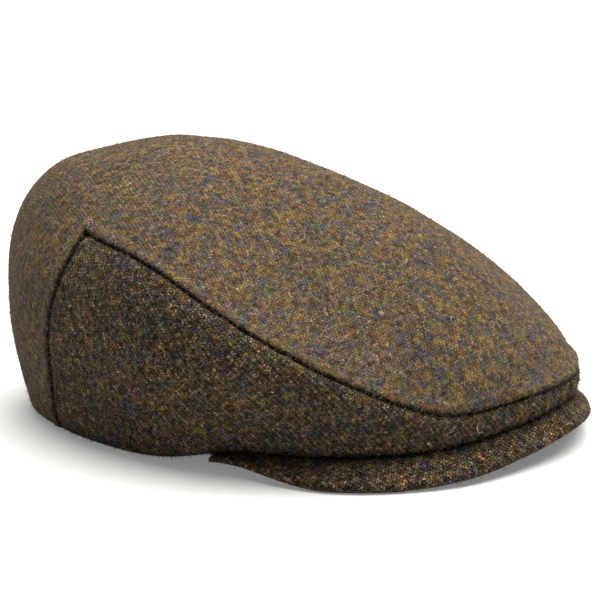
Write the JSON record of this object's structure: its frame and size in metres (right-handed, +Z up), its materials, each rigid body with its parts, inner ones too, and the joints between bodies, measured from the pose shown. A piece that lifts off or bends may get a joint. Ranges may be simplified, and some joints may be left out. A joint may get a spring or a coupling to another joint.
{
  "type": "flat cap",
  "caption": "Soft tweed flat cap with a rounded crown, seamed side panels and a short stiff peak, worn on the head.",
  "frame": {"origin": "middle of the cap's footprint, on the surface that it rests on", "axes": "+Z up, -Y toward the front where the peak is, +X toward the wearer's left"},
  "size_m": [0.2136, 0.2608, 0.116],
  "materials": {
    "tweed_top": "fuzzy",
    "tweed_side": "fuzzy",
    "tweed_peak": "fuzzy"
  },
  "bodies": {
    "root": {"crown_top_panel": "tweed_top", "side_panel_right": "tweed_side", "side_panel_left": "tweed_side", "peak": "tweed_peak"}
  },
  "joints": []
}
